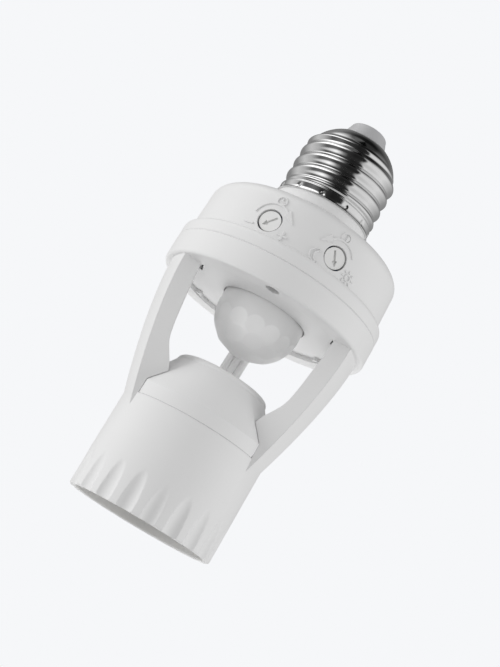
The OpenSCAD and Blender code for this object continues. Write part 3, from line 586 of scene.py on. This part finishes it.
def raised_signs(name, azimuth, strokes, flats):
    """One mesh of closed raised shapes round the knob at this azimuth."""
    shape = bmesh.new()
    for points, width, closed in strokes:
        sides = stroke(points, width, closed)
        rings = []
        for (lx, ly), (rx, ry) in sides:
            mx, my = (lx + rx) / 2, (ly + ry) / 2
            inner = 0.72
            rings.append([shape.verts.new(lay_on_drum(azimuth, x, y, h)) for x, y, h in (
                (lx, ly, -SUNK), (lx, ly, RAISED * 0.6),
                (mx + (lx - mx) * inner, my + (ly - my) * inner, RAISED),
                (mx + (rx - mx) * inner, my + (ry - my) * inner, RAISED),
                (rx, ry, RAISED * 0.6), (rx, ry, -SUNK))])
        count = len(rings)
        for i in range(count if closed else count - 1):
            a, b = rings[i], rings[(i + 1) % count]
            for k in range(6):
                shape.faces.new((a[k], a[(k + 1) % 6], b[(k + 1) % 6], b[k]))
        if not closed:
            shape.faces.new(rings[0][::-1])
            shape.faces.new(rings[-1])
    for outline in flats:
        cx = sum(p[0] for p in outline) / len(outline)
        cy = sum(p[1] for p in outline) / len(outline)
        layers = [[shape.verts.new(lay_on_drum(azimuth, cx + (x - cx) * s, cy + (y - cy) * s, h))
                   for x, y in outline]
                  for s, h in ((1, -SUNK), (1, RAISED * 0.6), (0.86, RAISED))]
        top = shape.verts.new(lay_on_drum(azimuth, cx, cy, RAISED))
        bottom = shape.verts.new(lay_on_drum(azimuth, cx, cy, -SUNK))
        count = len(outline)
        for k in range(count):
            n = (k + 1) % count
            for low_ring, high_ring in zip(layers, layers[1:]):
                shape.faces.new((low_ring[k], low_ring[n], high_ring[n], high_ring[k]))
            shape.faces.new((layers[-1][k], layers[-1][n], top))
            shape.faces.new((layers[0][n], layers[0][k], bottom))
    bmesh.ops.recalc_face_normals(shape, faces=shape.faces)
    mesh = bpy.data.meshes.new(name)
    shape.to_mesh(mesh)
    shape.free()
    smooth(mesh, 25)
    return piece(name, mesh, SIGN_WHITE, BODY_OF["upper_housing"], "housing")


def ring_of(cx, cy, radius, steps=28):
    return arc(cx, cy, radius, 0, 360 * (steps - 1) / steps, steps - 1)


raised_signs("time_signs", -KNOB_AZIMUTH, [
    (arc(0, 0, 4.6, 168, 48), 0.5, False),
    ([(-5.8, -2.2), (-4.5, -2.2), (-3.3, -2.2)], 0.5, False),
    ([(3.3, -2.3), (4.5, -2.3), (5.7, -2.3)], 0.55, False),
    ([(4.5, -3.5), (4.5, -2.3), (4.5, -1.1)], 0.55, False),
    (ring_of(0.3, 5.6, 1.15), 0.34, True),
    ([(0.3, 6.4), (0.3, 5.9), (0.3, 5.5)], 0.3, False),
    ([(0.2, 5.5), (0.6, 5.5), (0.9, 5.5)], 0.3, False),
], [
    [(5.4, 1.25), (3.5, 4.35), (2.4, 2.9)],
])
SUN_X, SUN_Y = 5.1, -2.2
raised_signs("light_signs", KNOB_AZIMUTH, [
    (arc(0, 0, 4.6, 132, 30), 0.5, False),
    (arc(-4.4, -2.1, 1.65, 62, 298, 18) + arc(-3.45, -2.1, 1.5, 258, 102, 14), 0.3, True),
    (ring_of(SUN_X, SUN_Y, 0.75), 0.32, True),
    *[([(SUN_X + r * math.cos(math.radians(a)), SUN_Y + r * math.sin(math.radians(a)))
        for r in (1.2, 1.5, 1.8)], 0.36, False) for a in range(0, 360, 45)],
    (ring_of(0.0, 5.6, 1.15), 0.34, True),
], [
    [(-5.4, 1.6), (-2.4, 2.9), (-3.5, 4.35)],
    arc(0.0, 5.6, 0.85, 270, 450, 12),
])


# -------------------------------------------------------------------- stage

def shown_to(made, camera=True, glossy=True, others=False):
    """Which rays meet a piece of the studio."""
    made.visible_camera = camera
    made.visible_glossy = glossy
    made.visible_diffuse = made.visible_transmission = made.visible_shadow = others
    made.visible_volume_scatter = False


# Floor: a pale sheet seen and lit from above only, as the camera looks up from below it
floor_mesh = bpy.data.meshes.new("floor")
FLOOR_Z = -0.05 * MM
floor_mesh.from_pydata([(-4, -4, FLOOR_Z), (4, -4, FLOOR_Z), (4, 4, FLOOR_Z), (-4, 4, FLOOR_Z)],
                       [], [(0, 1, 2, 3)])
floor = bpy.data.objects.new("floor", floor_mesh)
bpy.context.scene.collection.objects.link(floor)
shown_to(floor, glossy=False)
sheet, tree, shader = material("pale_paper_floor")
shader.inputs["Base Color"].default_value = linear("#F1F2F4")
shader.inputs["Roughness"].default_value = 0.8
clear = add(tree, "ShaderNodeBsdfTransparent")
side = add(tree, "ShaderNodeNewGeometry")
both = add(tree, "ShaderNodeMixShader", {}, {0: side.outputs["Backfacing"],
                                            1: shader.outputs[0], 2: clear.outputs[0]})
tree.links.new(both.outputs[0], tree.nodes["Material Output"].inputs["Surface"])
floor_mesh.materials.append(sheet)

# Studio surround that only reflections meet: soft boxes to the left and right, black cloth
# between them on the camera's side, and grey walls behind
SURROUND_R, SURROUND_Z = 0.9, 0.1
rings = []
for tilt in range(-90, 91, 10):
    t = math.radians(tilt)
    rings.append([at(SURROUND_R / MM * math.cos(t), math.radians(turn),
                     (SURROUND_Z + SURROUND_R * math.sin(t)) / MM)
                  for turn in range(0, 360, 10)])
surround_mesh = turned_grid("studio_surround", rings, closed=False)
surround = bpy.data.objects.new("studio_surround", surround_mesh)
bpy.context.scene.collection.objects.link(surround)
shown_to(surround, camera=False)
walls, tree, shader = material("cloth_and_soft_boxes")
place = add(tree, "ShaderNodeTexCoord").outputs["Object"]
split = add(tree, "ShaderNodeSeparateXYZ", {}, {0: place})
front = add(tree, "ShaderNodeMath", {"operation": "MULTIPLY", 1: -1.0},
            {0: split.outputs["Y"]})
turn = add(tree, "ShaderNodeMath", {"operation": "ARCTAN2"},
           {0: split.outputs["X"], 1: front.outputs[0]})
turn = add(tree, "ShaderNodeMapRange", {"From Min": -math.pi, "From Max": math.pi},
           {"Value": turn.outputs[0]})
level = add(tree, "ShaderNodeMath", {"operation": "SUBTRACT", 1: SURROUND_Z},
            {0: split.outputs["Z"]})
level = add(tree, "ShaderNodeMath", {"operation": "ABSOLUTE"}, {0: level.outputs[0]})
away = add(tree, "ShaderNodeMapRange",
           {"From Min": SURROUND_R * math.sin(math.radians(24)),
            "From Max": SURROUND_R * math.sin(math.radians(48))}, {"Value": level.outputs[0]})
# brightness by azimuth in degrees, near the horizon and well above or below it
NEAR_HORIZON = ((-180, 0.2), (-135, 0.3), (-110, 0.7), (-90, 0.55), (-68, 0.12), (-46, 0.18),
                (-30, 0.06), (0, 0.015), (26, 0.02), (32, 0.78), (90, 0.85), (140, 0.35),
                (180, 0.2))
HIGH_OR_LOW = ((-180, 0.15), (-130, 0.3), (-100, 2.2), (-45, 2.2), (-26, 0.4), (-14, 0.03),
               (20, 0.03), (28, 0.5), (80, 0.6), (130, 0.12), (180, 0.15))
ramps = []
for stops in (NEAR_HORIZON, HIGH_OR_LOW):
    ramp = add(tree, "ShaderNodeValToRGB", {}, {0: turn.outputs[0]})
    points = ramp.color_ramp.elements
    while len(points) < len(stops):
        points.new(0.5)
    for point, (degrees, value) in zip(points, stops):
        point.position = (degrees + 180) / 360
        point.color = (value, value, value, 1)
    ramps.append(ramp)
joined = add(tree, "ShaderNodeMix", {"data_type": "RGBA"},
             {"Factor": away.outputs[0], 6: ramps[0].outputs[0], 7: ramps[1].outputs[0]})
top = add(tree, "ShaderNodeMapRange",
          {"From Min": SURROUND_Z + SURROUND_R * math.sin(math.radians(50)),
           "From Max": SURROUND_Z + SURROUND_R * math.sin(math.radians(72)),
           "To Min": 1.0, "To Max": 0.06}, {"Value": split.outputs["Z"]})
glow = add(tree, "ShaderNodeEmission", {}, {"Color": joined.outputs[2],
                                            "Strength": top.outputs[0]})
tree.links.new(glow.outputs[0], tree.nodes["Material Output"].inputs["Surface"])
surround_mesh.materials.append(walls)

# World: even light; what the camera and the plating see of it is the pale backdrop
AMBIENT = 0.62
world = bpy.data.worlds.new("studio")
bpy.context.scene.world = world
world.use_nodes = True
tree = world.node_tree
path = add(tree, "ShaderNodeLightPath")
seen = add(tree, "ShaderNodeMath", {"operation": "ADD"},
           {0: path.outputs["Is Camera Ray"], 1: path.outputs["Is Glossy Ray"]})
seen = add(tree, "ShaderNodeMath", {"operation": "ADD", "use_clamp": True},
           {0: seen.outputs[0], 1: path.outputs["Is Transmission Ray"]})
sky = add(tree, "ShaderNodeMix", {"data_type": "RGBA", 6: (AMBIENT, AMBIENT, AMBIENT, 1),
                                  7: linear("#F6F7F9")}, {"Factor": seen.outputs[0]})
tree.links.new(sky.outputs[2], tree.nodes["Background"].inputs["Color"])


def lamp(name, place, aim, size, watts):
    light = bpy.data.lights.new(name, "AREA")
    light.shape, light.size, light.energy = "DISK", size, watts
    made = bpy.data.objects.new(name, light)
    bpy.context.scene.collection.objects.link(made)
    made.location = place
    made.visible_glossy = False
    made.rotation_euler = (Vector(aim) - Vector(place)).to_track_quat("-Z", "Y").to_euler()
    return made


lamp("key", (-0.8, -0.2, 0.1), (0, 0, 0.06), 0.5, 2.9)
lamp("side", (0.8, -0.15, 0.1), (0, 0, 0.06), 0.5, 1.6)
lamp("low_back", (0.05, 0.65, -0.42), (0, 0, 0.06), 0.5, 4.2)

# Camera, on the photograph's own axes
camera = bpy.data.objects.new("camera", bpy.data.cameras.new("camera"))
bpy.context.scene.collection.objects.link(camera)
camera.data.sensor_width = 36
camera.data.lens = 64.71
camera.data.clip_start = 0.01
RIGHT = Vector((0.86383, -0.09005, 0.49567))
UP = Vector((-0.50244, -0.22562, 0.83465))
AHEAD = Vector((-0.03667, 0.97005, 0.24014))
camera.matrix_world = Matrix.Translation(Vector((10.648, -288.517, -17.542)) * MM) @ Matrix(
    (RIGHT, UP, -AHEAD)).transposed().to_4x4()
bpy.context.scene.camera = camera

bpy.context.scene.view_settings.view_transform = "Standard"
